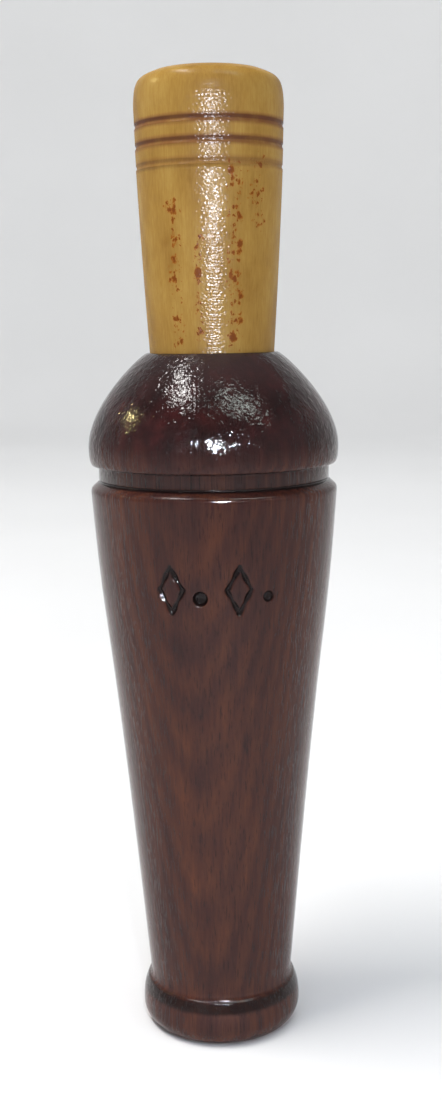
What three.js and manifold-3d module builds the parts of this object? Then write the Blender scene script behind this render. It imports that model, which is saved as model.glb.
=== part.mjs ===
// A turned two-tone duck call: a walnut barrel with a domed top, a pale stopper plugged into it,
// and inside the stopper a tone board, a brass reed and a cork wedge.
// Millimetres, +Z up. The origin is on the turning axis, at the face of the barrel's mouth end,
// on which the call stands. Its carved front faces -Y.
import * as THREE from "three";
import { mergeVertices } from "three/addons/utils/BufferGeometryUtils.js";
import Module from "manifold-3d";

const wasm = await Module();
wasm.setup();

// ---- Driving dimensions ----

const SEGMENTS = 40; // round the turned pieces
const CURVE_STEPS = 6; // on each curved stretch of a profile

const BARREL = {
  height: 104.9,
  mouthBoreR: 7.14, // 9/16 inch drill
  mouthFlareR: 8.5,
  mouthFlareTop: 14,
  mouthFaceR: 10,
  mouthBoreTop: 31,
  socketR: 9.55, // 3/4 inch drill
  socketBottom: 35,
  beadR: 12.3,
  beadZ: 2.9,
  creaseR: 11.5, // where the bead's top meets the neck
  creaseZ: 6.9,
  neckR: 11.05,
  neckZ: 8.0,
  shoulderR: 18.75,
  shoulderZ: 84.0,
  domeR: 19.0,
  domeZ: 90.8,
  domeLowerR: 18.3,
  domeEdgeR: 9.85, // where the dome ends, round the socket
};

// The control points (radius, height) of the barrel's freehand curves.
const HANDLES = {
  lip: [[11.3, 0], [BARREL.beadR, 1.5]],
  beadTop: [[BARREL.beadR, 5.4], [11.85, 6.0]],
  crease: [[11.05, 7.1]],
  flank: [[16.85, 71.3], [16.75, 57.5]], // hollow below and full above
  dome: [[BARREL.domeR, 97.1], [11.0, 104.6]],
};

// The flank as a straight cone where it is carved.
const CARVED_CONE = { lowZ: 60, lowR: 16.3, highZ: 75, highR: 18.06 };

// The groove that a lanyard's loop lies in, between the barrel's bevelled rim and its dome.
const GROOVE = { floorR: 17.55, bottom: 85.65, top: 88.1, bevelR: 18.4, bevelZ: 84.9, rimZ: 84.6 };

const STOPPER = {
  bottom: 82,
  top: 146.1,
  tenonR: 9.2,
  tenonChamfer: 0.6,
  jointR: 9.42, // where it enters the barrel
  taperR: 10.36, // the control point of the taper above that
  taperZ: 119,
  ringsR: 10.95, // just below the rings
  ringsZ: 131.7,
  shoulderR: 11.2,
  shoulderZ: 140.8,
  endHandles: [[11.2, 145.15], [10.5, 145.2]], // of its rounded end
  boreR: 6.35, // 1/2 inch drill
  flareStart: 118,
  flareR: 6.9,
  rimR: 8.3, // the flat rim round the flared opening
};
const RING = { heights: [132.2, 135.2, 138.2], width: 0.9, depth: 0.25 };

const BOARD = {
  r: 6.2,
  face: 0.25, // the flat side's distance behind the axis
  bottom: 44,
  top: 106,
  curveTop: 78, // the flat face curves away below this height
  curveDrop: 1.3, // how far it has curved away at its tip
  channelWidth: 5,
  channelDepth: 3.5,
  channelBottom: 47.5,
};

const REED = { width: 10.5, thickness: 0.3, bottom: 46, top: 103, hinge: 70, hingeGap: 0.3 };

const WEDGE = { r: 6.2, tipR: 5.6, face: 0.25, bottom: 78, top: 104 };

// Two carved lozenges and two drilled dots on the barrel's front, each at its angle round the axis.
const CARVING = {
  z: 71.5,
  lozenges: [-21, 11.5], // degrees from the front, positive towards +X
  halfWidth: 1.8,
  halfHeight: 3.4,
  gougeWidth: 0.9,
  gougeDepth: 0.45,
  dotZ: 70.3,
  dotDepth: 0.8,
  dots: [
    { angle: -7, r: 1.15 },
    { angle: 26, r: 0.9 },
  ],
};

const MATERIALS = {
  walnut: { color: 0x3b2420, roughness: 0.35, metalness: 0 },
  boxwood: { color: 0xa68244, roughness: 0.4, metalness: 0 },
  cedar: { color: 0x9a6a45, roughness: 0.7, metalness: 0 },
  brass: { color: 0xb5923f, roughness: 0.3, metalness: 1 },
  cork: { color: 0xa87f55, roughness: 0.9, metalness: 0 },
};

// ---- Solids ----

// A closed geometry as a manifold-3d solid.
function solidOf(geometry) {
  const bare = geometry.clone();
  bare.deleteAttribute("normal");
  bare.deleteAttribute("uv");
  const merged = mergeVertices(bare, 1e-4);
  return new wasm.Manifold(
    new wasm.Mesh({
      numProp: 3,
      vertProperties: merged.attributes.position.array,
      triVerts: new Uint32Array(merged.index.array),
    }),
  );
}

// A manifold-3d solid as a geometry for a mesh.
function geometryOf(solid) {
  const mesh = solid.getMesh();
  const geometry = new THREE.BufferGeometry();
  geometry.setAttribute("position", new THREE.BufferAttribute(mesh.vertProperties, 3));
  geometry.setIndex(new THREE.BufferAttribute(mesh.triVerts, 1));
  const faceted = geometry.toNonIndexed();
  faceted.computeVertexNormals();
  return faceted;
}

// A closed outline of (radius, height), turned about +Z. Its outside runs upwards.
function turned(path) {
  const lathe = new THREE.LatheGeometry(path.getPoints(CURVE_STEPS), SEGMENTS);
  return solidOf(lathe.rotateX(Math.PI / 2));
}

// An outline extruded upwards from one height to another.
function prism(shape, bottom, top) {
  const options = { depth: top - bottom, bevelEnabled: false, curveSegments: 16 };
  return solidOf(new THREE.ExtrudeGeometry(shape, options).translate(0, 0, bottom));
}

function mesh(name, solid, material) {
  const made = new THREE.Mesh(geometryOf(solid), new THREE.MeshStandardMaterial(material));
  made.name = name;
  return made;
}

// ---- Barrel ----

function barrelOutline() {
  const b = BARREL;
  const path = new THREE.Path();
  path.moveTo(b.mouthFlareR, 0);
  path.lineTo(b.mouthFaceR, 0);
  // The rounded lip, the bead, and the crease and neck above it.
  path.bezierCurveTo(...HANDLES.lip.flat(), b.beadR, b.beadZ);
  path.bezierCurveTo(...HANDLES.beadTop.flat(), b.creaseR, b.creaseZ);
  path.quadraticCurveTo(...HANDLES.crease.flat(), b.neckR, b.neckZ);
  // The long flank.
  path.bezierCurveTo(...HANDLES.flank.flat(), b.shoulderR, b.shoulderZ);
  // The rounded rim and its bevel, the groove and the dome's lower edge.
  path.quadraticCurveTo(b.shoulderR, GROOVE.rimZ, GROOVE.bevelR, GROOVE.bevelZ);
  path.lineTo(GROOVE.floorR, GROOVE.bottom);
  path.lineTo(GROOVE.floorR, GROOVE.top);
  path.lineTo(b.domeLowerR, GROOVE.top);
  path.quadraticCurveTo(b.domeR, GROOVE.top, b.domeR, b.domeZ);
  // The dome, round to the socket's edge.
  path.bezierCurveTo(...HANDLES.dome.flat(), b.domeEdgeR, b.height);
  path.lineTo(b.socketR, b.height);
  // Down the socket, through the drill point and out of the flared mouth.
  path.lineTo(b.socketR, b.socketBottom);
  path.lineTo(b.mouthBoreR, b.mouthBoreTop);
  path.lineTo(b.mouthBoreR, b.mouthFlareTop);
  path.quadraticCurveTo(b.mouthBoreR, b.mouthFlareTop / 3, b.mouthFlareR, 0);
  return path;
}

// Moves a cutter that faces -Y at the origin to the flank's surface, turned by an angle.
function placedOnFlank(geometry, degrees, z) {
  const { lowZ, lowR, highZ, highR } = CARVED_CONE;
  const slope = Math.atan2(highR - lowR, highZ - lowZ);
  const r = THREE.MathUtils.mapLinear(z, lowZ, highZ, lowR, highR);
  return solidOf(
    geometry.rotateX(slope).translate(0, -r, z).rotateZ(THREE.MathUtils.degToRad(degrees)),
  );
}

// One V gouge along a straight stroke between two points of the surface's (x, z) plane.
function gouge([x0, z0], [x1, z1]) {
  const length = Math.hypot(x1 - x0, z1 - z0);
  const proud = 3; // how many times its depth it stands out of the surface
  const w = (CARVING.gougeWidth / 2) * (1 + proud);
  const section = new THREE.Shape([
    new THREE.Vector2(0, CARVING.gougeDepth),
    new THREE.Vector2(-w, -CARVING.gougeDepth * proud),
    new THREE.Vector2(w, -CARVING.gougeDepth * proud),
  ]);
  return new THREE.ExtrudeGeometry(section, { depth: length, bevelEnabled: false })
    .translate(0, 0, -length / 2)
    .rotateY(Math.atan2(x1 - x0, z1 - z0))
    .translate((x0 + x1) / 2, 0, (z0 + z1) / 2);
}

function carvingCutters() {
  const { halfWidth: w, halfHeight: h } = CARVING;
  const corners = [[0, -h], [w, 0], [0, h], [-w, 0]];
  const cutters = [];
  for (const angle of CARVING.lozenges)
    corners.forEach((corner, i) => {
      const stroke = gouge(corner, corners[(i + 1) % corners.length]);
      cutters.push(placedOnFlank(stroke, angle, CARVING.z));
    });
  for (const dot of CARVING.dots) {
    const drill = new THREE.CylinderGeometry(dot.r, dot.r, 2 * CARVING.dotDepth, 16);
    cutters.push(placedOnFlank(drill, dot.angle, CARVING.dotZ));
  }
  return cutters;
}

function barrel() {
  return carvingCutters().reduce((solid, cutter) => solid.subtract(cutter), turned(barrelOutline()));
}

// ---- Stopper ----

function stopperOutline() {
  const s = STOPPER;
  const path = new THREE.Path();
  path.moveTo(s.boreR, s.bottom);
  path.lineTo(s.tenonR - s.tenonChamfer, s.bottom);
  path.lineTo(s.tenonR, s.bottom + s.tenonChamfer);
  path.lineTo(s.jointR, BARREL.height);
  // The exposed taper, as far as the first ring.
  path.quadraticCurveTo(s.taperR, s.taperZ, taperRadius(RING.heights[0]), RING.heights[0] - RING.width / 2);
  for (const z of RING.heights) {
    path.lineTo(taperRadius(z), z - RING.width / 2);
    path.lineTo(taperRadius(z) - RING.depth, z - RING.width / 4);
    path.lineTo(taperRadius(z) - RING.depth, z + RING.width / 4);
    path.lineTo(taperRadius(z), z + RING.width / 2);
  }
  path.lineTo(s.shoulderR, s.shoulderZ);
  path.bezierCurveTo(...s.endHandles.flat(), s.rimR, s.top);
  path.lineTo(s.flareR, s.top);
  // Down the flared exhaust and the bore.
  path.quadraticCurveTo(s.boreR, (s.flareStart + s.top) / 2, s.boreR, s.flareStart);
  path.lineTo(s.boreR, s.bottom);
  return path;
}

// The stopper's outer radius near its rings.
function taperRadius(z) {
  const s = STOPPER;
  return THREE.MathUtils.mapLinear(z, s.ringsZ, s.shoulderZ, s.ringsR, s.shoulderR);
}

// ---- Tone board, reed and wedge ----

// Half a disc behind the axis (side +1) or in front of it (side -1), flat towards the axis.
function halfDisc(r, face, side) {
  const edge = Math.asin(face / r);
  const shape = new THREE.Shape();
  if (side > 0) shape.absarc(0, 0, r, edge, Math.PI - edge, false);
  else shape.absarc(0, 0, r, Math.PI + edge, 2 * Math.PI - edge, false);
  return shape;
}

// What is cut off the board's flat face to curve it away towards its tip, as an outline of
// (height below the curve's start, distance behind the axis).
function boardFaceCutter() {
  const length = BOARD.curveTop - BOARD.bottom;
  const outline = new THREE.Shape();
  outline.moveTo(0, BOARD.face);
  // A parabola: its control point is half-way along, still on the flat.
  outline.quadraticCurveTo(length / 2, BOARD.face, length, BOARD.face + BOARD.curveDrop);
  outline.lineTo(length + 1, BOARD.face + BOARD.curveDrop);
  outline.lineTo(length + 1, -1);
  outline.lineTo(0, -1);
  const options = { depth: 4 * BOARD.r, bevelEnabled: false, curveSegments: 12 };
  return solidOf(
    new THREE.ExtrudeGeometry(outline, options)
      .translate(0, 0, -2 * BOARD.r)
      .rotateY(Math.PI / 2)
      .translate(0, 0, BOARD.curveTop),
  );
}

// The sound channel: closed near the tip with a round end, and open at the stopper's end.
function channelCutter() {
  const w = BOARD.channelWidth / 2;
  const outline = new THREE.Shape();
  outline.absarc(0, BOARD.channelBottom + w, w, Math.PI, 2 * Math.PI, false);
  outline.lineTo(w, BOARD.top + 1);
  outline.lineTo(-w, BOARD.top + 1);
  const options = { depth: BOARD.channelDepth + 1, bevelEnabled: false, curveSegments: 8 };
  return solidOf(
    new THREE.ExtrudeGeometry(outline, options)
      .rotateX(Math.PI / 2)
      .translate(0, BOARD.face + BOARD.channelDepth, 0),
  );
}

function toneBoard() {
  return prism(halfDisc(BOARD.r, BOARD.face, 1), BOARD.bottom, BOARD.top)
    .subtract(boardFaceCutter())
    .subtract(channelCutter());
}

// One stretch of the flat reed.
function reedStrip(bottom, top) {
  const strip = new THREE.BoxGeometry(REED.width, REED.thickness, top - bottom);
  return solidOf(strip.translate(0, 0, (bottom + top) / 2));
}

// A half-round cork, thinner at the end that goes in first.
function wedge() {
  const base = halfDisc(WEDGE.r, WEDGE.face, -1).getPoints(16);
  const shrink = WEDGE.tipR / WEDGE.r;
  const geometry = new THREE.ExtrudeGeometry(new THREE.Shape(base), {
    depth: WEDGE.top - WEDGE.bottom,
    bevelEnabled: false,
  });
  const position = geometry.getAttribute("position");
  for (let i = 0; i < position.count; i++)
    if (position.getZ(i) > 0) {
      position.setX(i, position.getX(i) * shrink);
      position.setY(i, -WEDGE.face + (position.getY(i) + WEDGE.face) * shrink);
    }
  return solidOf(geometry.translate(0, 0, WEDGE.bottom));
}

// ---- The call ----

const stopperGroup = new THREE.Group();
stopperGroup.add(
  mesh("stopper", turned(stopperOutline()), MATERIALS.boxwood),
  mesh("tone_board", toneBoard(), MATERIALS.cedar),
  mesh("reed_tail", reedStrip(REED.hinge + REED.hingeGap / 2, REED.top), MATERIALS.brass),
  mesh("reed_tongue", reedStrip(REED.bottom, REED.hinge - REED.hingeGap / 2), MATERIALS.brass),
  mesh("cork_wedge", wedge(), MATERIALS.cork),
);

const duckCall = new THREE.Group();
duckCall.add(mesh("barrel", barrel(), MATERIALS.walnut), stopperGroup);

export default duckCall;
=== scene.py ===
"""A turned duck call on a pale floor: a lacquered walnut barrel with a domed top and a small carved
ornament, a pale hardwood stopper with three burned rings, and the tone board, brass reed and cork
wedge inside. Outlines are (radius, height) in millimetres; Blender's own units are metres."""

import math

import bpy
import numpy as np
from mathutils import Matrix, Quaternion, Vector


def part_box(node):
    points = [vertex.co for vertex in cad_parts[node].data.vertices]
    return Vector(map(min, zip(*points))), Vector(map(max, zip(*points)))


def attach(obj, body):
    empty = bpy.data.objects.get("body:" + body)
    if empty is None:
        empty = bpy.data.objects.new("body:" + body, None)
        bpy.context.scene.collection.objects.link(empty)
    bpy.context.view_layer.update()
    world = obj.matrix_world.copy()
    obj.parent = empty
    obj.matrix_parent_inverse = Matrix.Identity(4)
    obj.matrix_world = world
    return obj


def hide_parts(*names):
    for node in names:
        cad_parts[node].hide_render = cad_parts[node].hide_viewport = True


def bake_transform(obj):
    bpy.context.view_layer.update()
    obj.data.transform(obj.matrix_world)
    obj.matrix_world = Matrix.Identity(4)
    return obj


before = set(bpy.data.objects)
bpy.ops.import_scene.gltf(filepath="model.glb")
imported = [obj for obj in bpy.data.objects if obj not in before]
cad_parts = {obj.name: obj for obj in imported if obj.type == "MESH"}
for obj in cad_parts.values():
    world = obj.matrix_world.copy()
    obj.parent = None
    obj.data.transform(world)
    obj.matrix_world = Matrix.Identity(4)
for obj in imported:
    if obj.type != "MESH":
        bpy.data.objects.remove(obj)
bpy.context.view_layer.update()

MM = 0.001

# ---- Sizes that the frame gives, in millimetres ----


def node_box(node):
    """The lowest and highest corners of a CAD node, in millimetres."""
    low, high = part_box(node)
    return low / MM, high / MM


_, barrel_high = node_box("barrel")
stopper_low, stopper_high = node_box("stopper")
board_low, board_high = node_box("tone_board")
tongue_low, tongue_high = node_box("reed_tongue")
tail_low, tail_high = node_box("reed_tail")
wedge_low, wedge_high = node_box("cork_wedge")

DOME_R = barrel_high.x
BARREL_TOP = barrel_high.z
STOPPER_TOP = stopper_high.z
STOPPER_BOTTOM = stopper_low.z
STOPPER_R = stopper_high.x

# ---- Sizes of the turned outlines, in millimetres ----

MOUTH_FLARE_R = 8.5
MOUTH_BORE_R = 7.14
MOUTH_FLARE_TOP = 14.0
MOUTH_BORE_TOP = 31.0
SOCKET_R = 9.55
SOCKET_BOTTOM = 35.0
MOUTH_EDGE = (MOUTH_FLARE_R + 0.25, 0.02)
MOUTH_FACE_R = 10.0
BEAD = (12.3, 2.9)
CREASE = (11.5, 6.9)
NECK = (11.05, 8.0)
SHOULDER = (18.75, 84.0)
RIM_BEVEL = (18.4, 84.9)
GROOVE_FLOOR_R = 17.55
GROOVE_BOTTOM = 85.65
GROOVE_TOP = 88.1
DOME_LOWER_R = 18.3
DOME_Z = 90.8
DOME_EDGE_R = 9.85
# The inner control points of the barrel's curves, in order up its outside.
LIP_HANDLES = ((11.3, 0), (BEAD[0], 1.5))
BEAD_TOP_HANDLES = ((BEAD[0], 5.4), (11.85, 6.0))
CREASE_HANDLE = (11.05, 7.1)
FLANK_HANDLES = ((16.85, 71.3), (16.75, 57.5))
RIM_HANDLE = (SHOULDER[0], 84.6)
DOME_HANDLES = ((DOME_R, 97.1), (11.0, 104.6))

JOINT_R = 9.42
TENON_R = 9.2
STOPPER_BORE_R = 6.35
STOPPER_FLARE_START = 118.0
STOPPER_FLARE_R = 6.9
STOPPER_RIM_R = 8.3
STOPPER_SHOULDER_Z = 140.8
RINGS_START = (10.95, 131.7)
RING_HEIGHTS = (132.2, 135.2, 138.2)
RING_WIDTH = 0.9
RING_DEPTH = 0.25
STOPPER_FLANK_HANDLE = (10.36, 119.0)
STOPPER_END_HANDLES = ((STOPPER_R, 145.15), (10.5, 145.2))

# ---- The carved ornament: two lozenges and two drilled dots ----

CARVING_Z = 71.5
LOZENGE_ANGLES = (-21.0, 11.5)  # degrees from the front, towards +X
LOZENGE_HALF_WIDTH = 1.8
LOZENGE_HALF_HEIGHT = 3.4
GOUGE_HALF_WIDTH = 0.5
GOUGE_DEPTH = 0.45
DOTS = ((-7.0, 1.15, 1.0), (26.0, 0.9, 0.6))  # angle in degrees, radius, depth
DOTS_Z = 70.3
CARVED_ANGLES = (-31.0, 32.0)
CARVED_HEIGHTS = (66.9, 76.1)
CARVED_STEP = 0.11  # between the mesh's points where it is carved
CARVED_R = 17.4  # the flank's radius there

# ---- Outlines ----


def bezier(*points, steps):
    """Points along a Bezier curve of any degree, without its first."""
    degree = len(points) - 1
    t = np.linspace(0, 1, steps + 1)[1:, None]
    weights = [math.comb(degree, i) * (1 - t) ** (degree - i) * t**i for i in range(degree + 1)]
    return [tuple(p) for p in sum(w * np.array(p, float) for w, p in zip(weights, points))]


class Outline:
    """A run of (radius, height) points, built stretch by stretch."""

    def __init__(self, *start):
        self.points = [start]

    def curve(self, *points, steps=8):
        self.points += bezier(self.points[-1], *points, steps=steps)
        return self

    def line(self, *end, steps=1):
        return self.curve(end, steps=steps)

    def corner(self, corner, towards, radius, steps=4):
        """Straight to a corner, rounded, ready to go on towards another point."""
        here = np.array(corner, float)
        back = np.array(self.points[-1], float) - here
        on = np.array(towards, float) - here
        start = here + back / np.linalg.norm(back) * radius
        end = here + on / np.linalg.norm(on) * radius
        self.line(*start)
        return self.curve(corner, tuple(end), steps=steps)


def resampled(points, heights):
    """An outline that rises all the way, read off at other heights."""
    r, z = np.array(points).T
    return [(float(np.interp(h, z, r)), float(h)) for h in heights]


def flank_points():
    """The barrel's long flank from neck to shoulder, with close rows where it is carved."""
    curve = [NECK] + bezier(NECK, *FLANK_HANDLES, SHOULDER, steps=120)
    low, high = CARVED_HEIGHTS
    heights = np.concatenate([
        np.linspace(NECK[1], low, 34)[1:],
        np.arange(low + CARVED_STEP, high, CARVED_STEP),
        np.linspace(high, SHOULDER[1], 7),
    ])
    return resampled(curve, heights)


def barrel_outline():
    """From the mouth's edge up the outside, down into the socket and on down the bore."""
    outline = Outline(*MOUTH_EDGE)
    outline.line(MOUTH_FACE_R, 0, steps=3)
    outline.curve(*LIP_HANDLES, BEAD, steps=16)
    outline.curve(*BEAD_TOP_HANDLES, CREASE, steps=12)
    outline.curve(CREASE_HANDLE, NECK, steps=6)
    outline.points += flank_points()
    outline.curve(RIM_HANDLE, RIM_BEVEL, steps=8)
    outline.line(GROOVE_FLOOR_R + 0.1, GROOVE_BOTTOM - 0.1, steps=4)
    outline.curve((GROOVE_FLOOR_R - 0.35, GROOVE_BOTTOM),
                  (GROOVE_FLOOR_R, GROOVE_BOTTOM + 0.35), steps=6)
    outline.corner((GROOVE_FLOOR_R, GROOVE_TOP), (DOME_LOWER_R, GROOVE_TOP), 0.4, steps=6)
    outline.line(DOME_LOWER_R, GROOVE_TOP, steps=2)
    outline.curve((DOME_R, GROOVE_TOP), (DOME_R, DOME_Z), steps=12)
    outline.curve(*DOME_HANDLES, (DOME_EDGE_R, BARREL_TOP - 0.02), steps=56)
    outline.corner((SOCKET_R, BARREL_TOP), (SOCKET_R, SOCKET_BOTTOM), 0.12)
    outline.line(SOCKET_R, SOCKET_BOTTOM, steps=12)
    outline.line(MOUTH_BORE_R, MOUTH_BORE_TOP, steps=3)
    outline.line(MOUTH_BORE_R, MOUTH_FLARE_TOP, steps=4)
    outline.curve((MOUTH_BORE_R, MOUTH_FLARE_TOP / 3), (MOUTH_FLARE_R, 0.3), steps=10)
    outline.curve((MOUTH_FLARE_R + 0.05, 0.04), MOUTH_EDGE, steps=3)
    return outline.points[:-1]


def taper_radius(z):
    """The stopper's radius near its rings."""
    return float(np.interp(z, [RINGS_START[1], STOPPER_SHOULDER_Z], [RINGS_START[0], STOPPER_R]))


def stopper_outline():
    """From the lower end up the outside, over the top and back down the bore."""
    half = RING_WIDTH / 2
    outline = Outline(STOPPER_BORE_R + 0.2, STOPPER_BOTTOM)
    outline.line(TENON_R - 0.7, STOPPER_BOTTOM, steps=3)
    outline.curve((TENON_R - 0.1, STOPPER_BOTTOM), (TENON_R, STOPPER_BOTTOM + 0.7), steps=5)
    outline.line(JOINT_R, BARREL_TOP, steps=14)
    first = RING_HEIGHTS[0] - half
    outline.curve(STOPPER_FLANK_HANDLE, (taper_radius(first), first), steps=40)
    for z in RING_HEIGHTS:
        r = taper_radius(z)
        outline.line(r - 0.01, z - half, steps=3)
        outline.curve((r + 0.03, z - 0.7 * half), (r - 1.7 * RING_DEPTH, z),
                      (r + 0.03, z + 0.7 * half), (r - 0.01, z + half), steps=12)
    outline.line(STOPPER_R, STOPPER_SHOULDER_Z, steps=4)
    outline.curve(*STOPPER_END_HANDLES, (STOPPER_RIM_R, STOPPER_TOP), steps=24)
    outline.corner((STOPPER_FLARE_R, STOPPER_TOP), (STOPPER_FLARE_R - 0.05, 140.0), 0.3)
    middle = (STOPPER_FLARE_START + STOPPER_TOP) / 2
    outline.curve((STOPPER_BORE_R, middle), (STOPPER_BORE_R, STOPPER_FLARE_START), steps=16)
    outline.line(STOPPER_BORE_R, STOPPER_BOTTOM + 0.3, steps=8)
    outline.curve((STOPPER_BORE_R, STOPPER_BOTTOM), (STOPPER_BORE_R + 0.2, STOPPER_BOTTOM), steps=3)
    return outline.points[:-1]


# ---- Meshes ----


def make_object(name, vertices_mm, faces):
    mesh = bpy.data.meshes.new(name)
    mesh.from_pydata((np.asarray(vertices_mm) * MM).tolist(), [], faces)
    mesh.validate()
    mesh.shade_smooth()
    made = bpy.data.objects.new(name, mesh)
    bpy.context.scene.collection.objects.link(made)
    return made


def ring_faces(rows, columns, close_rows):
    """Quads of a grid whose columns close into a ring, and whose rows may too."""
    faces = []
    for i in range(rows if close_rows else rows - 1):
        a, b = i * columns, (i + 1) % rows * columns
        for j in range(columns):
            k = (j + 1) % columns
            faces.append((a + j, a + k, b + k, b + j))
    return faces


def turned(name, outline, angles, cut=None):
    """A closed outline turned about +Z. Angles are degrees from the front (-Y) towards +X, and
    cut(radii, heights, angles) says how far each point is cut in towards the axis."""
    r, z = np.array(outline).T
    a = np.radians(angles)
    radii = np.repeat(r[:, None], len(a), 1)
    heights = np.repeat(z[:, None], len(a), 1)
    turns = np.repeat(a[None, :], len(r), 0)
    if cut is not None:
        radii = radii - cut(radii, heights, turns)
    points = np.stack([radii * np.sin(turns), -radii * np.cos(turns), heights], -1)
    return make_object(name, points.reshape(-1, 3), ring_faces(len(r), len(a), True))


def even_angles(count):
    return np.arange(count) * 360.0 / count


def barrel_angles():
    """Close columns across the carved front, and wider ones round the rest."""
    low, high = CARVED_ANGLES
    step = math.degrees(CARVED_STEP / CARVED_R)
    return np.concatenate([np.arange(low, high, step), np.linspace(high, low + 360, 150)[:-1]])


def distance_to_stroke(x, z, start, end):
    """Distance to a straight stroke, and how far along it the nearest point is (0 to 1)."""
    (x0, z0), (x1, z1) = start, end
    dx, dz = x1 - x0, z1 - z0
    t = np.clip(((x - x0) * dx + (z - z0) * dz) / (dx * dx + dz * dz), 0, 1)
    return np.hypot(x - x0 - t * dx, z - z0 - t * dz), t


def carving(radii, heights, turns):
    """How deep the hand-cut ornament is at each point of the barrel's flank."""
    depth = np.zeros_like(radii)
    z = heights - CARVING_Z
    turns = (turns + math.pi) % (2 * math.pi) - math.pi
    outside = radii > SOCKET_R + 2
    w, h = LOZENGE_HALF_WIDTH, LOZENGE_HALF_HEIGHT
    corners = [(0, -h), (w, 0), (0, h), (-w, 0)]
    for number, angle in enumerate(LOZENGE_ANGLES):
        x = radii * (turns - math.radians(angle))
        for i, start in enumerate(corners):
            d, t = distance_to_stroke(x, z, start, corners[(i + 1) % 4])
            wobble = np.sin(9.0 * t + 2.1 * i + 1.3 * number)
            half_width = GOUGE_HALF_WIDTH * (0.95 + 0.14 * wobble)
            stroke = GOUGE_DEPTH * (0.9 + 0.2 * wobble) * np.clip(1 - d / half_width, 0, 1) ** 0.8
            depth = np.maximum(depth, stroke)
    for angle, r, dot_depth in DOTS:
        x = radii * (turns - math.radians(angle))
        d = np.hypot(x, heights - DOTS_Z)
        depth = np.maximum(depth, dot_depth * np.clip((r - d) / 0.3, 0, 1) * (1.15 - 0.3 * d / r))
    return depth * outside


# ---- Shaders ----


class Shader:
    """A principled material's node tree, with a short call for each kind of node it needs."""

    def __init__(self, name, **constants):
        self.material = bpy.data.materials.new(name)
        self.material.use_nodes = True
        self.tree = self.material.node_tree
        self.bsdf = self.tree.nodes["Principled BSDF"]
        for socket, value in constants.items():
            self.bsdf.inputs[socket.replace("_", " ")].default_value = value
        coordinates = self.tree.nodes.new("ShaderNodeTexCoord").outputs["Object"]
        self.mm = self.vector("MULTIPLY", coordinates, (1 / MM,) * 3)
        parts = self.tree.nodes.new("ShaderNodeSeparateXYZ")
        self.tree.links.new(self.mm, parts.inputs[0])
        self.x, self.y, self.z = parts.outputs

    def put(self, socket, value):
        if isinstance(value, bpy.types.NodeSocket):
            self.tree.links.new(value, socket)
        else:
            socket.default_value = value

    def vector(self, operation, *values, output="Vector"):
        node = self.tree.nodes.new("ShaderNodeVectorMath")
        node.operation = operation
        for socket, value in zip(node.inputs, values):
            self.put(socket, value)
        return node.outputs[output]

    def math(self, operation, *values):
        node = self.tree.nodes.new("ShaderNodeMath")
        node.operation = operation
        for socket, value in zip(node.inputs, values):
            self.put(socket, value)
        return node.outputs[0]

    def noise(self, scale, detail=2.0, roughness=0.5, offset=(0, 0, 0), color=False):
        """Noise with its own scale along each axis, in features per millimetre."""
        node = self.tree.nodes.new("ShaderNodeTexNoise")
        self.put(node.inputs["Vector"], self.vector("MULTIPLY_ADD", self.mm, scale, offset))
        node.inputs["Scale"].default_value = 1.0
        node.inputs["Detail"].default_value = detail
        node.inputs["Roughness"].default_value = roughness
        return node.outputs["Color" if color else "Fac"]

    def cells(self, scale, offset=(0, 0, 0), where=None):
        """Voronoi cells: the distance to the nearest centre, and the cell's random number."""
        node = self.tree.nodes.new("ShaderNodeTexVoronoi")
        spot = self.vector("MULTIPLY_ADD", where or self.mm, scale, offset)
        self.put(node.inputs["Vector"], spot)
        node.inputs["Scale"].default_value = 1.0
        parts = self.tree.nodes.new("ShaderNodeSeparateColor")
        self.put(parts.inputs[0], node.outputs["Color"])
        return node.outputs["Distance"], parts.outputs[0]

    def ramp(self, fac, *stops):
        """A colour ramp; each stop is (position, grey) or (position, (r, g, b))."""
        node = self.tree.nodes.new("ShaderNodeValToRGB")
        elements = node.color_ramp.elements
        while len(elements) < len(stops):
            elements.new(0.5)
        for element, (position, value) in zip(elements, stops):
            element.position = position
            rgb = (value,) * 3 if isinstance(value, (int, float)) else value
            element.color = (*rgb, 1.0)
        self.put(node.inputs[0], fac)
        return node.outputs[0]

    def remap(self, value, low, high, to_low=0.0, to_high=1.0):
        """A smooth step from to_low at low to to_high at high."""
        node = self.tree.nodes.new("ShaderNodeMapRange")
        node.interpolation_type = "SMOOTHSTEP"
        for socket, number in zip(node.inputs, (value, low, high, to_low, to_high)):
            self.put(socket, number)
        return node.outputs[0]

    def mix(self, fac, a, b):
        node = self.tree.nodes.new("ShaderNodeMix")
        node.data_type = "RGBA"
        self.put(node.inputs[0], fac)
        for socket, value in ((node.inputs[6], a), (node.inputs[7], b)):
            value = (*value, 1.0) if isinstance(value, tuple) else value
            self.put(socket, value)
        return node.outputs[2]

    def sum(self, *weighted):
        """The sum of (value, weight) pairs."""
        (value, weight), *rest = weighted
        total = self.math("MULTIPLY", value, weight)
        for value, weight in rest:
            total = self.math("MULTIPLY_ADD", value, weight, total)
        return total

    def off_from(self, height):
        """How far above or below a height each point is."""
        return self.math("ABSOLUTE", self.math("SUBTRACT", self.z, height))

    def bump(self, height, depth_mm):
        node = self.tree.nodes.new("ShaderNodeBump")
        node.inputs["Distance"].default_value = depth_mm * MM
        self.put(node.inputs["Height"], height)
        return node.outputs[0]

    def set(self, **sockets):
        for name, value in sockets.items():
            self.put(self.bsdf.inputs[name.replace("_", " ")], value)
        return self.material


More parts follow.
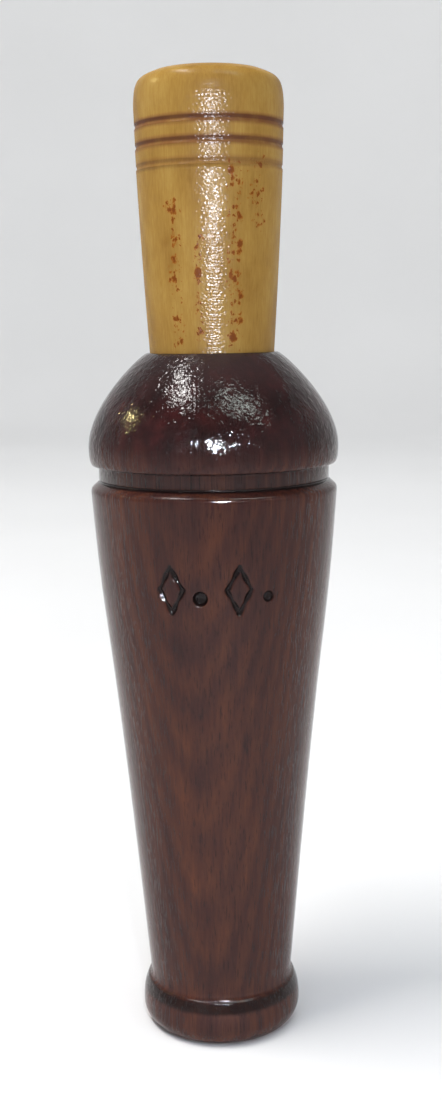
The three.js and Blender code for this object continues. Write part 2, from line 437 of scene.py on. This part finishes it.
# The walnut's tones, from its darkest fibres to its lightest, as stops of a colour ramp.
WALNUT_TONES = (
    (0.12, (0.022, 0.0080, 0.0078)),
    (0.4, (0.044, 0.0142, 0.0110)),
    (0.62, (0.078, 0.0235, 0.0128)),
    (0.9, (0.150, 0.0410, 0.0140)),
)
SOAKED_TONES = (
    (0.35, (0.010, 0.0055, 0.0060)),
    (0.55, (0.024, 0.0075, 0.0080)),
    (0.7, (0.046, 0.0105, 0.0105)),
)
PORE_COLOR = (0.010, 0.0055, 0.0055)
# The colour of a painted sheen on the dome's top.
PAINTED_SHEEN_COLOR = (0.042, 0.030, 0.029)
PAINTED_SHEEN_START = 96.0  # the height above which a painted sheen makes the dome greyer
# The colour of the painted shade, with dirt, in the turned creases.
CREASE_DIRT_AND_SHADE_COLOR = (0.007, 0.0045, 0.0045)
# The colour of the painted shade, with dirt, in the carved cuts and drilled dots.
CUT_DIRT_AND_SHADE_COLOR = (0.006, 0.004, 0.004)
# Painted shade, with dirt, in the turned creases and the groove under the dome: lowest and highest
# height, and how dark it is painted.
CREASE_DIRT_AND_SHADE_BANDS = (
    (4.9, 7.3, 0.8),
    (85.3, 86.0, 0.85),
    (85.3, 88.6, 0.4),
    (87.7, 88.3, 0.4),
)
PITH = (9.0, 62.0, 0.0)  # the growth rings' centre, well behind the call
RING_SPACING = 1.0
RING_START = 0.35  # shifts all the rings, as a share of their spacing


def walnut():
    """Dark, reddish walnut under a glossy lacquer that follows its open pores."""
    shader = Shader("walnut_lacquered", Roughness=0.55, Specular_IOR_Level=0.0, Coat_Weight=1.0,
                    Coat_IOR=1.3, Coat_Roughness=0.062)
    on_dome = shader.remap(shader.z, GROOVE_TOP - 1.0, DOME_Z + 3.0)
    tone, fibres = walnut_grain(shader, on_dome)
    dashes = shader.noise((4.2, 4.2, 0.2), detail=3, roughness=0.6, offset=(1, 5, 2))
    pores = shader.remap(dashes, 0.56, 0.68)
    color = walnut_color(shader, tone, pores, on_dome)
    relief = shader.math("MULTIPLY_ADD", pores, -1.2, fibres)
    film = walnut_film(shader, fibres, pores, on_dome)
    return shader.set(Base_Color=color, Normal=shader.bump(relief, depth_mm=0.03),
                      Coat_Normal=shader.bump(film, depth_mm=0.1))


def walnut_color(shader, tone, pores, on_dome):
    """The wood's tones with its pores, the soaked end grain, a painted sheen on the dome's top, and
    painted shade with dirt in the creases and cuts.
    """
    color = shader.ramp(tone, *WALNUT_TONES)
    color = shader.mix(shader.math("MULTIPLY", pores, 0.6), color, PORE_COLOR)
    # The dome's end grain has soaked up more finish, in clouds.
    clouds = shader.noise((0.28, 0.28, 0.2), detail=4, roughness=0.6, offset=(5, 2, 9))
    color = shader.mix(shader.math("MULTIPLY", on_dome, 0.8), color, shader.ramp(clouds, *SOAKED_TONES))
    # Painted sheen: the dome's top is painted greyer towards its end.
    painted_sheen = shader.remap(shader.z, PAINTED_SHEEN_START, BARREL_TOP, 0.0, 0.6)
    color = shader.mix(painted_sheen, color, PAINTED_SHEEN_COLOR)
    # Painted shade, with dirt, darkens the turned creases and the groove under the dome.
    for low, high, strength in CREASE_DIRT_AND_SHADE_BANDS:
        off = shader.off_from((low + high) / 2)
        dirt_and_shade = shader.remap(off, (high - low) / 5, (high - low) / 2, strength, 0.0)
        color = shader.mix(dirt_and_shade, color, CREASE_DIRT_AND_SHADE_COLOR)
    # The carved cuts and dots get painted shade, with dirt.
    return shader.mix(carved_mask(shader), color, CUT_DIRT_AND_SHADE_COLOR)


def walnut_film(shader, fibres, pores, on_dome):
    """The lacquer's surface: fibres and pores show through it, and it is coarse and pitted, in
    patches, on the dome's end grain."""
    swell = shader.noise((0.55, 0.55, 0.5), detail=1, roughness=0.5, offset=(3, 3, 8))
    pits = shader.noise((1.6, 1.6, 1.6), detail=2.2, roughness=0.6, offset=(6, 1, 5))
    patches = shader.noise((0.7, 0.7, 0.7), detail=2, roughness=0.6, offset=(1, 8, 4))
    pits = shader.math("MULTIPLY", pits, shader.remap(patches, 0.36, 0.64, 0.3, 1.2))
    rough = shader.sum((swell, 0.3), (pits, 0.9))
    along = shader.sum((pores, -0.35), (fibres, 0.3))
    along = shader.math("MULTIPLY", along, shader.math("MULTIPLY_ADD", on_dome, -0.85, 1.0))
    rough_share = shader.remap(shader.z, GROOVE_TOP - 2.0, GROOVE_TOP, 0.2, 1.0)
    return shader.math("MULTIPLY_ADD", rough, rough_share, along)


def walnut_grain(shader, on_dome):
    """How light the wood is from place to place, and its fibres. Growth rings about a pith well
    behind the call show nested V figures on the tapered front."""
    drift = shader.noise((0.05, 0.05, 0.014), detail=3, color=True)
    drift = shader.vector("SUBTRACT", drift, (0.5, 0.5, 0.5))
    warped = shader.vector("MULTIPLY_ADD", drift, (2.4, 2.4, 0.0), shader.mm)
    from_pith = shader.vector("MULTIPLY", shader.vector("SUBTRACT", warped, PITH), (1.0, 1.0, 0.0))
    distance = shader.vector("LENGTH", from_pith, output="Value")
    rings = shader.math("MULTIPLY_ADD", distance, 1 / RING_SPACING, RING_START)
    wander = shader.noise((0.06, 0.06, 0.01), detail=2, offset=(7, 3, 1))
    phase = shader.math("FRACT", shader.math("ADD", wander, rings))
    ring_tone = shader.ramp(phase, (0.0, 0.3), (0.3, 0.75), (0.55, 0.62), (0.85, 0.3), (1.0, 0.3))
    ring_weight = shader.math("MULTIPLY_ADD", on_dome, -0.22, 0.3)
    fibres = shader.noise((2.6, 2.6, 0.05), detail=5, roughness=0.68)
    streaks = shader.noise((0.55, 0.55, 0.012), detail=3, roughness=0.6, offset=(6, 6, 3))
    bands = shader.noise((0.2, 0.2, 0.006), detail=2, roughness=0.5, offset=(2, 9, 4))
    tone = shader.sum((fibres, 0.55), (ring_tone, ring_weight), (streaks, 0.45), (bands, 0.35))
    darker_above = shader.remap(shader.z, 45.0, 75.0, 0.0, 0.05)
    tone = shader.math("SUBTRACT", tone, darker_above)
    return shader.math("SUBTRACT", tone, 0.345), fibres


def carved_mask(shader):
    """Where the surface lies below the flank's own radius: the cuts and drilled dots."""
    low, high = CARVED_HEIGHTS
    (low_r, _), (high_r, _) = resampled(flank_points(), (low, high))
    slope = (high_r - low_r) / (high - low)
    flat = shader.vector("MULTIPLY", shader.mm, (1.0, 1.0, 0.0))
    across = shader.vector("LENGTH", flat, output="Value")
    flank = shader.math("MULTIPLY_ADD", shader.z, slope, low_r - low * slope)
    depth = shader.math("SUBTRACT", flank, across)
    cut = shader.remap(depth, 0.06, 0.2, 0.0, 0.9)
    outside = shader.remap(depth, 2.0, 2.5, 1.0, 0.0)
    above = shader.remap(shader.z, low - 0.3, low)
    below = shader.remap(shader.z, high, high + 0.3, 1.0, 0.0)
    on_carving = shader.math("MULTIPLY", above, below)
    return shader.math("MULTIPLY", shader.math("MULTIPLY", cut, outside), on_carving)


BOXWOOD_TONES = (
    (0.15, (0.24, 0.122, 0.023)),
    (0.5, (0.345, 0.195, 0.042)),
    (0.85, (0.45, 0.285, 0.075)),
)
SPLASH_FILM_COLOR = (0.30, 0.088, 0.010)
SPLASH_CORE_COLOR = (0.15, 0.036, 0.006)
SCORCH_COLOR = (0.16, 0.054, 0.02)
BURNED_LINE_COLOR = (0.075, 0.022, 0.012)
RING_STRENGTHS = (0.42, 0.8, 0.86)  # how dark each turned ring is burned, from the lowest
# Where the splashes run down the stopper: degrees from the front, half-width in mm, lowest and
# highest height, and how thickly they lie.
SPLASH_RUNS = (
    (-30.0, 1.0, 105.0, 128.5, 0.95),
    (-10.0, 0.6, 105.0, 124.5, 1.0),
    (20.0, 1.1, 105.0, 133.5, 1.0),
    (41.0, 1.2, 122.0, 135.0, 0.95),
    (25.0, 1.6, 130.5, 133.0, 0.8),
    (118.0, 0.9, 108.0, 131.0, 0.9),
    (-155.0, 0.7, 112.0, 138.0, 0.8),
)
SPLASHED_R = 10.0  # the radius that turns a run's angles into widths
# The drops' cells: how many to a millimetre, how large they can be, and an offset.
DROP_SIZES = (
    ((0.62, 0.62, 0.5), 0.5, (0, 0, 0)),
    ((1.05, 1.05, 0.8), 0.57, (4.3, 1.7, 2.9)),
    ((1.7, 1.7, 1.4), 0.46, (8.1, 5.3, 6.7)),
)


def boxwood():
    """Yellow-ochre close-grained wood, lacquered, with burned rings and reddish splashes."""
    shader = Shader("boxwood_lacquered", Roughness=0.5, Specular_IOR_Level=0.0, Coat_Weight=0.55,
                    Coat_IOR=1.27, Coat_Roughness=0.26)
    flecks = shader.noise((4.6, 4.6, 0.35), detail=4, roughness=0.65)
    fibres = shader.noise((1.8, 1.8, 0.08), detail=4, roughness=0.6, offset=(2, 2, 7))
    bands = shader.noise((0.3, 0.3, 0.012), detail=2, offset=(4, 1, 6))
    blotches = shader.noise((0.2, 0.2, 0.1), detail=4, roughness=0.65, offset=(8, 2, 3))
    tone = shader.sum((fibres, 0.15), (flecks, 0.5), (bands, 0.2), (blotches, 0.95))
    color = shader.ramp(shader.math("SUBTRACT", tone, 0.4), *BOXWOOD_TONES)
    thin, thick = splashes(shader)
    color = shader.mix(thin, color, SPLASH_FILM_COLOR)
    color = shader.mix(thick, color, SPLASH_CORE_COLOR)
    for z, strength in zip(RING_HEIGHTS, RING_STRENGTHS):
        color = shader.mix(scorch(shader, z, strength), color, SCORCH_COLOR)
        color = shader.mix(burned_line(shader, z, strength), color, BURNED_LINE_COLOR)
    film = boxwood_film(shader)
    return shader.set(Base_Color=color, Normal=shader.bump(flecks, depth_mm=0.015),
                      Coat_Normal=shader.bump(film, depth_mm=0.11))


def boxwood_film(shader):
    """The lacquer's surface: fine turning marks that speckle its gloss, stronger round the rings
    and faint on the top edge."""
    turning = shader.noise((0.5, 0.5, 3.2), detail=0.3, roughness=0.6, offset=(5, 5, 5))
    speckle = shader.noise((2.45, 2.45, 4.1), detail=0.6, roughness=0.6, offset=(2, 7, 1))
    film = shader.sum((turning, 0.65), (speckle, 0.8))
    stronger = shader.remap(shader.z, 128.0, 134.0, 1.0, 1.4)
    fainter = shader.remap(shader.z, STOPPER_SHOULDER_Z, STOPPER_SHOULDER_Z + 2, 1.0, 0.2)
    return shader.math("MULTIPLY", shader.math("MULTIPLY", film, stronger), fainter)


def scorch(shader, z, strength):
    """The scorched stain of one turned ring, patchy round its edge."""
    patchy = shader.noise((0.35, 0.35, 0.6), detail=3, offset=(z, 0, 0))
    off = shader.math("MULTIPLY_ADD", patchy, 0.4, shader.off_from(z))
    stain = shader.remap(off, 0.55, 1.25, strength, 0.0)
    return shader.math("MULTIPLY", stain, shader.remap(patchy, 0.25, 0.6, 0.6, 1.0))


def burned_line(shader, z, strength):
    """The burned line along the upper edge of a ring's groove."""
    return shader.remap(shader.off_from(z + 0.2), 0.13, 0.4, 0.9 * strength**2, 0.0)


def splash_runs(shader):
    """How thickly the splashes lie at each point: several wandering runs down the stopper."""
    angle = shader.math("ARCTAN2", shader.x, shader.math("MULTIPLY", shader.y, -1.0))
    wander = shader.noise((0.0, 0.0, 0.16), detail=2, offset=(3, 3, 0))
    angle = shader.math("MULTIPLY_ADD", shader.math("SUBTRACT", wander, 0.5), 0.3, angle)
    total = 0.0
    for degrees, half_width, low, high, amount in SPLASH_RUNS:
        off = shader.math("ABSOLUTE", shader.math("SUBTRACT", angle, math.radians(degrees)))
        off = shader.math("MULTIPLY", off, SPLASHED_R)
        across = shader.remap(off, 0.4 * half_width, 1.7 * half_width, amount, 0.0)
        rising = shader.remap(shader.z, low - 1, low + 1)
        falling = shader.remap(shader.z, high - 3, high, 1.0, 0.0)
        here = shader.math("MULTIPLY", across, shader.math("MULTIPLY", rising, falling))
        total = shader.math("MAXIMUM", total, here)
    return total


def splashes(shader):
    """Reddish-brown drops along the runs: their light film and dark cores."""
    thickly = splash_runs(shader)
    ragged = shader.noise((1.9, 1.9, 1.3), detail=4, roughness=0.65, offset=(9, 9, 9), color=True)
    ragged = shader.vector("SUBTRACT", ragged, (0.5, 0.5, 0.5))
    spot = shader.vector("MULTIPLY_ADD", ragged, (1.5, 1.5, 1.5), shader.mm)
    drops = -1.0
    for scale, reach, offset in DROP_SIZES:
        distance, chance = shader.cells(scale, offset, where=spot)
        size = shader.math("MULTIPLY", shader.math("MULTIPLY", chance, thickly), reach)
        drops = shader.math("MAXIMUM", drops, shader.math("SUBTRACT", size, distance))
    return shader.remap(drops, -0.03, 0.05, 0.0, 0.9), shader.remap(drops, 0.03, 0.17, 0.0, 0.8)


CEDAR_TONES = ((0.1, (0.17, 0.062, 0.026)), (0.5, (0.33, 0.15, 0.065)), (0.9, (0.46, 0.25, 0.115)))
BRASS_TONES = ((0.3, (0.42, 0.25, 0.09)), (0.6, (0.72, 0.5, 0.21)))
CORK_TONES = ((0.15, (0.23, 0.115, 0.05)), (0.8, (0.5, 0.31, 0.16)))
CORK_FLECK_COLOR = (0.07, 0.03, 0.016)
FLOOR_TONES = ((0.3, (0.78, 0.775, 0.77)), (0.7, (0.81, 0.805, 0.8)))


def cedar():
    """Bare sanded cedar with fine straight grain."""
    shader = Shader("cedar_bare", Roughness=0.68, IOR=1.45)
    rings = shader.noise((1.1, 0.25, 0.01), detail=3, roughness=0.5)
    fibres = shader.noise((5.0, 5.0, 0.12), detail=4, roughness=0.6, offset=(3, 1, 2))
    tone = shader.math("SUBTRACT", shader.sum((rings, 0.9), (fibres, 0.4)), 0.25)
    color = shader.ramp(tone, *CEDAR_TONES)
    return shader.set(Base_Color=color, Normal=shader.bump(fibres, depth_mm=0.03))


def reed_brass():
    """Thin rolled brass with fine scratches along it and a little tarnish."""
    shader = Shader("brass_rolled", Metallic=1.0)
    scratches = shader.noise((14.0, 14.0, 0.25), detail=3, roughness=0.7)
    tarnish = shader.noise((0.35, 0.35, 0.12), detail=4, roughness=0.6, offset=(2, 6, 4))
    roughness = shader.remap(tarnish, 0.35, 0.7, 0.46, 0.24)
    color = shader.ramp(tarnish, *BRASS_TONES)
    return shader.set(Base_Color=color, Roughness=roughness,
                      Normal=shader.bump(scratches, depth_mm=0.006))


def cork():
    """Natural cork: packed grains, dark flecks and small pits."""
    shader = Shader("cork_natural", Roughness=0.85, IOR=1.4)
    distance, grain = shader.cells((0.9, 0.9, 0.9))
    fine = shader.noise((3.0, 3.0, 3.0), detail=4, roughness=0.65)
    flecks = shader.remap(shader.noise((0.8, 0.8, 1.6), detail=3, offset=(4, 4, 1)), 0.6, 0.68)
    color = shader.ramp(shader.sum((fine, 0.6), (grain, 0.5)), *CORK_TONES)
    color = shader.mix(flecks, color, CORK_FLECK_COLOR)
    relief = shader.math("MULTIPLY_ADD", flecks, -1.0, shader.math("ADD", fine, distance))
    return shader.set(Base_Color=color, Normal=shader.bump(relief, depth_mm=0.09))


def pale_floor():
    shader = Shader("pale_floor", Roughness=0.85)
    soft = shader.noise((0.004, 0.004, 0.004), detail=2)
    return shader.set(Base_Color=shader.ramp(soft, *FLOOR_TONES))


# ---- Inside pieces ----


def loft(name, sections):
    """A closed mesh through sections with equal numbers of (x, y, z) points, capped at its ends."""
    count = len(sections[0])
    points = np.concatenate([np.asarray(section, float) for section in sections])
    faces = ring_faces(len(sections), count, False)
    faces.append(tuple(range(count))[::-1])
    faces.append(tuple(range(len(points) - count, len(points))))
    return make_object(name, points, faces)


def drawn_in(z, low, high, amount, reach, power=1):
    """How far a section is drawn in near either end of its piece, which softens the end's edge."""
    return amount * max(0.0, 1 - min(z - low, high - z) / reach) ** power


def half_round(r, face_y, z, side, channel_half=0.0, channel_depth=0.0, soften=0.18):
    """One section of a half-round stick: its arc behind (side 1) or in front of (side -1) the
    flat at face_y, with softened edges and a round-cornered channel sunk into the flat."""
    edge = math.asin(min(abs(face_y) / r, 0.99)) + soften / r
    arc = [(r * math.cos(t), side * r * math.sin(t)) for t in np.linspace(edge, math.pi - edge, 40)]
    reach = math.sqrt(r * r - face_y * face_y) - soften
    half, depth = max(channel_half, 0.02), channel_depth
    fillet = min(0.7, 0.45 * half, depth)
    flat = [(-reach, 0), (-half, 0), (-half, depth - fillet)]
    flat += [(-half + 0.3 * fillet, depth - 0.3 * fillet), (-half + fillet, depth)]
    flat += [(-x, y) for x, y in flat[::-1]]
    section = arc + [(x, side * (abs(face_y) + y)) for x, y in flat]
    section = [(x, y, z) for x, y in section]
    return section if side > 0 else section[::-1]


BOARD_CURVE_TOP = 78.0
BOARD_CURVE_DROP = 1.3
CHANNEL_BOTTOM = 47.5
CHANNEL_RUN = 3.4  # how far up its round lower end reaches
CHANNEL_HALF = 2.5
CHANNEL_DEPTH = 3.5


def tone_board():
    """Flat where it is clamped, then curved away to its tip, with a channel that opens upwards."""
    low, high = board_low.z, board_high.z
    face, r = board_low.y, board_high.x
    heights = np.concatenate([
        [low, low + 0.06, low + 0.2],
        np.arange(low + 1, CHANNEL_BOTTOM, 1.0),
        np.linspace(CHANNEL_BOTTOM, CHANNEL_BOTTOM + CHANNEL_RUN, 16),
        np.arange(CHANNEL_BOTTOM + 4, high - 0.5, 1.0),
        [high - 0.25, high - 0.06, high],
    ])
    sections = []
    for z in heights:
        below = max(0.0, (BOARD_CURVE_TOP - z) / (BOARD_CURVE_TOP - low))
        inset = drawn_in(z, low, high, amount=0.22, reach=0.2)
        run = np.clip((z - CHANNEL_BOTTOM) / CHANNEL_RUN, 0, 1)
        half = CHANNEL_HALF * math.sqrt(1 - (1 - run) ** 2) if run else 0.0
        depth = CHANNEL_DEPTH * math.sin(run * math.pi / 2)
        drop = BOARD_CURVE_DROP * below**2
        sections.append(half_round(r - inset, face + drop, z, 1, half, depth))
    return loft("tone_board_turned", sections)


WEDGE_TIP_SHARE = 0.903  # the radius at the end that goes in first, against the other end's


def cork_wedge():
    """Half-round cork, pressed thinner at the end that goes in first."""
    low, high = wedge_low.z, wedge_high.z
    face, r = abs(wedge_high.y), wedge_high.x
    heights = np.concatenate([
        [low, low + 0.12, low + 0.4],
        np.linspace(low + 1, high - 1, 22),
        [high - 0.4, high - 0.12, high],
    ])
    sections = []
    for z in heights:
        share = np.interp(z, [low, high], [1.0, WEDGE_TIP_SHARE])
        inset = drawn_in(z, low, high, amount=0.45, reach=0.4, power=2)
        sections.append(half_round(r * share - inset, face, z, -1, soften=0.35))
    return loft("cork_wedge_pressed", sections)


REED_CORNER_R = 1.6


def brass_reed():
    """One strip with softened edges and round corners at its free end."""
    half_width = tail_high.x
    half_thick = tail_high.y
    low, high = tongue_low.z, tail_high.z
    heights = np.concatenate([
        low + np.array([0.0, 0.04, 0.1]),
        low + REED_CORNER_R * (1 - np.cos(np.linspace(0.35, math.pi / 2, 12))),
        np.arange(low + REED_CORNER_R + 1, high - 0.5, 0.75),
        high - np.array([0.1, 0.04, 0.0]),
    ])
    sections = []
    for z in heights:
        up = min((z - low) / REED_CORNER_R, 1.0)
        across = half_width - REED_CORNER_R * (1 - math.sqrt(max(0.0, 1 - (1 - up) ** 2)))
        thick = half_thick - drawn_in(z, low, high, amount=0.05, reach=0.1)
        edge = 0.6 * thick
        side = [(across - edge, -thick), (across - 0.3 * edge, -0.7 * thick), (across, 0)]
        side += [(across - 0.3 * edge, 0.7 * thick), (across - edge, thick), (0, thick)]
        ring = side + [(-x, -y) for x, y in side]
        sections.append([(x, y, z) for x, y in ring])
    return loft("brass_reed_strip", sections)


# ---- The call ----


def finish_piece(piece, material, node_names, body=None):
    """Gives a piece its material and body, and puts it in its CAD nodes' place."""
    piece.data.materials.clear()
    piece.data.materials.append(material)
    if body is not None:
        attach(piece, body)
    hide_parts(*node_names)


def build_call():
    barrel = turned("barrel_turned", barrel_outline(), barrel_angles(), cut=carving)
    finish_piece(barrel, walnut(), ["barrel"], "barrel")
    stopper = turned("stopper_turned", stopper_outline(), even_angles(count=224))
    finish_piece(stopper, boxwood(), ["stopper"], "stopper")
    finish_piece(tone_board(), cedar(), ["tone_board"], "tone_board")
    finish_piece(cork_wedge(), cork(), ["cork_wedge"], "cork_wedge")
    reed = brass_reed()
    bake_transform(reed)
    finish_piece(reed, reed_brass(), ["reed_tail", "reed_tongue"])


# ---- Camera, floor and light ----

CAMERA_PLACE = Vector((1.07, -211.6, 109.3)) * MM
CAMERA_LENS = 45.5
CAMERA_PITCH = math.radians(90 - 6.5)
CAMERA_ROLL = math.radians(-0.82)
CAMERA_SHIFT = -0.0627


def build_camera():
    camera = bpy.data.cameras.new("camera")
    camera.lens = CAMERA_LENS
    camera.shift_y = CAMERA_SHIFT
    made = bpy.data.objects.new("camera", camera)
    turn = Matrix.Rotation(CAMERA_PITCH, 4, "X") @ Matrix.Rotation(CAMERA_ROLL, 4, "Z")
    made.matrix_world = Matrix.Translation(CAMERA_PLACE) @ turn
    bpy.context.scene.collection.objects.link(made)
    bpy.context.scene.camera = made


FLOOR_R = 1100.0
FLOOR_INNER_RINGS = (40.0, 200.0, 600.0)
SWEEP_R = 500.0
WALL_TOP = 1500.0


def build_floor():
    """A round floor that sweeps up into a wall all the way round."""
    sweep = [(FLOOR_R + SWEEP_R * math.sin(t), SWEEP_R * (1 - math.cos(t)))
             for t in np.linspace(0, math.pi / 2, 16)]
    rings = [(r, 0.0) for r in FLOOR_INNER_RINGS] + sweep + [(FLOOR_R + SWEEP_R, WALL_TOP)]
    count = 96
    turns = [2 * math.pi * i / count for i in range(count)]
    points = [(0.0, 0.0, 0.0)]
    for r, z in rings:
        points += [(r * math.cos(t), r * math.sin(t), z) for t in turns]
    faces = [(0, 1 + j, 1 + (j + 1) % count) for j in range(count)]
    faces += [tuple(1 + k for k in face[::-1]) for face in ring_faces(len(rings), count, False)]
    floor = make_object("pale_sweep", points, faces)
    floor.data.materials.append(pale_floor())


LIGHT_AIM = (0, 0, 0.09)
FLASH_PLACE = (0.017, -0.222, 0.148)
FLASH_COLOR = (0.86, 0.89, 1.0)
WORLD_COLOR = (0.93, 0.96, 1.0, 1.0)
WORLD_STRENGTH = 0.1

# Places, aims and sizes are in metres, powers in watts, and spin turns a light about its own
# axis, in degrees. A light acts on everything, or it makes only highlights ("gloss"), or it lights
# only what is matt ("matt").
LIGHTS = (
    dict(name="flash", place=FLASH_PLACE, size=(0.008, 0.006), power=0.12, color=FLASH_COLOR,
         lights="matt"),
    dict(name="flash_glint", place=FLASH_PLACE, size=(0.009, 0.008), power=3.2, color=FLASH_COLOR,
         lights="gloss"),
    dict(name="window", place=(-0.42, -0.16, 1.1), size=(0.08, 0.6), power=10.0,
         color=(1.0, 0.97, 0.95), spin=69),
    dict(name="strip", place=(0.42, -0.48, 1.1), size=(0.7, 0.13), power=5.5,
         color=(0.88, 1.0, 0.94), spin=-40, lights="gloss"),
    dict(name="lamp", place=(-0.9, 0.13, 0.61), size=(0.012, 0.012), power=2.6,
         color=(1.0, 0.84, 0.36), lights="gloss"),
    dict(name="doorway", place=(-0.46, -0.87, 0.45), size=(0.03, 0.7), power=0.35,
         color=(0.9, 0.95, 1.0), lights="gloss"),
    dict(name="room", place=(0.1, -0.3, 1.4), aim=(0, 0, 0), size=(1.2, 1.2), power=9.5,
         color=(0.86, 0.94, 1.0), lights="matt"),
    dict(name="backdrop", place=(0, 0.35, 1.4), aim=(0, 1.6, 0.5), size=(1.2, 0.5), power=6.0,
         color=(0.97, 0.98, 1.0), lights="matt"),
)


def area_light(name, place, size, power, color, aim=LIGHT_AIM, spin=0.0, lights="all"):
    """A rectangular light that the camera doesn't see, turned towards its aim."""
    light = bpy.data.lights.new(name, "AREA")
    light.shape = "RECTANGLE"
    light.size, light.size_y = size
    light.energy = power
    light.color = color
    made = bpy.data.objects.new(name, light)
    made.location = place
    direction = Vector(aim) - Vector(place)
    made.rotation_mode = "QUATERNION"
    turn = Quaternion((0, 0, 1), math.radians(spin))
    made.rotation_quaternion = direction.to_track_quat("-Z", "Y") @ turn
    made.visible_camera = False
    made.visible_diffuse = lights != "gloss"
    made.visible_glossy = lights != "matt"
    bpy.context.scene.collection.objects.link(made)


def build_lights():
    world = bpy.data.worlds.new("soft_room")
    world.use_nodes = True
    background = world.node_tree.nodes["Background"]
    background.inputs["Color"].default_value = WORLD_COLOR
    background.inputs["Strength"].default_value = WORLD_STRENGTH
    bpy.context.scene.world = world
    for light in LIGHTS:
        area_light(**light)


def build_look():
    view = bpy.context.scene.view_settings
    view.view_transform = "Standard"
    view.look = "None"


build_camera()
build_call()
build_floor()
build_lights()
build_look()
